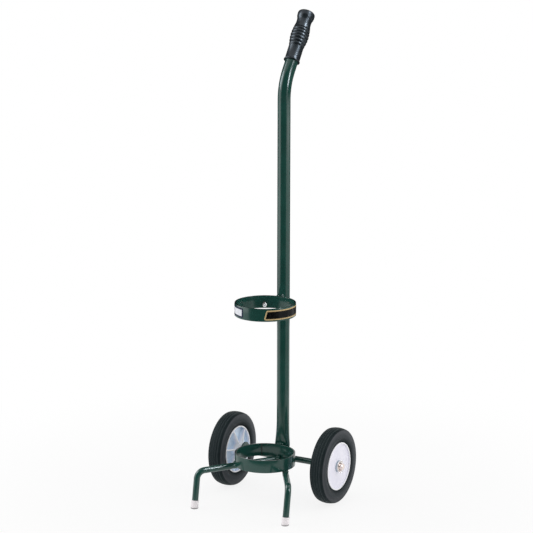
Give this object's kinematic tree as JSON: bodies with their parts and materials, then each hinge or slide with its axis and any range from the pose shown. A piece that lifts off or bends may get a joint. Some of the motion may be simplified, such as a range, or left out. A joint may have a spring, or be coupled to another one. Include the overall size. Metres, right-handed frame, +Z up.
{
  "type": "gas cylinder trolley",
  "caption": "Tall hand trolley with a bent tube mast and ribbed grip, hoops that hold an upright gas cylinder, a clamp screw, rubber-tyred wheels and capped front legs.",
  "frame": {"origin": "on the floor, under the middle of the trolley's outer box", "axes": "+Z up along the mast, -Y towards the front where the legs and the cylinder are, +X towards the wheel on the right as seen from the front"},
  "size_m": [0.279, 0.2866, 0.9721],
  "materials": {
    "green_paint": "gloss dark green enamel",
    "grip_rubber": "satin black",
    "tyre_rubber": "matt dark grey",
    "hub_plastic": "satin white moulding",
    "cap_vinyl": "soft white vinyl",
    "zinc_plate": "zinc plated",
    "nylon_tip": "natural nylon",
    "label_dark": "blank black film",
    "label_pale": "blank white film"
  },
  "bodies": {
    "frame": {"mast_tube": "green_paint", "handle_grip": "grip_rubber", "upper_hoop": "green_paint", "upper_hoop_welds": "green_paint", "dark_label": "label_dark", "pale_label": "label_pale", "clamp_nut": "green_paint", "lower_hoop": "green_paint", "mast_foot_welds": "green_paint", "left_leg": "green_paint", "right_leg": "green_paint", "leg_welds": "green_paint", "left_foot_cap": "cap_vinyl", "right_foot_cap": "cap_vinyl", "axle": "green_paint", "left_inner_washer": "green_paint", "left_outer_washer": "zinc_plate", "left_cotter_pin": "zinc_plate", "right_inner_washer": "green_paint", "right_outer_washer": "zinc_plate", "right_cotter_pin": "zinc_plate"},
    "left_wheel": {"left_tyre": "tyre_rubber", "left_hub": "hub_plastic"},
    "right_wheel": {"right_tyre": "tyre_rubber", "right_hub": "hub_plastic"},
    "tip": {"clamp_tip": "nylon_tip"},
    "screw": {"clamp_screw": "zinc_plate"}
  },
  "joints": [
    {"name": "left_wheel_spin", "type": "hinge", "parent": "frame", "child": "left_wheel", "pos_m": [-0.1167, 0.03618, 0.0762], "axis": [1, 0, 0], "continuous": true},
    {"name": "right_wheel_spin", "type": "hinge", "parent": "frame", "child": "right_wheel", "pos_m": [0.1167, 0.03618, 0.0762], "axis": [1, 0, 0], "continuous": true},
    {"name": "clamp_tip_travel", "type": "slide", "parent": "frame", "child": "tip", "axis": [0.515, -0.8572, 0], "range_m": [-0.0165, 0.004]},
    {"name": "clamp_screw_turn", "type": "hinge", "parent": "tip", "child": "screw", "pos_m": [0, -0.03392, 0.3946], "axis": [0.515, -0.8572, 0], "range_deg": [-4242, 1028]}
  ],
  "couplings": [
    {"joint": "clamp_tip_travel", "follows": "clamp_screw_turn", "m_per_rad": 0.00022282}
  ]
}
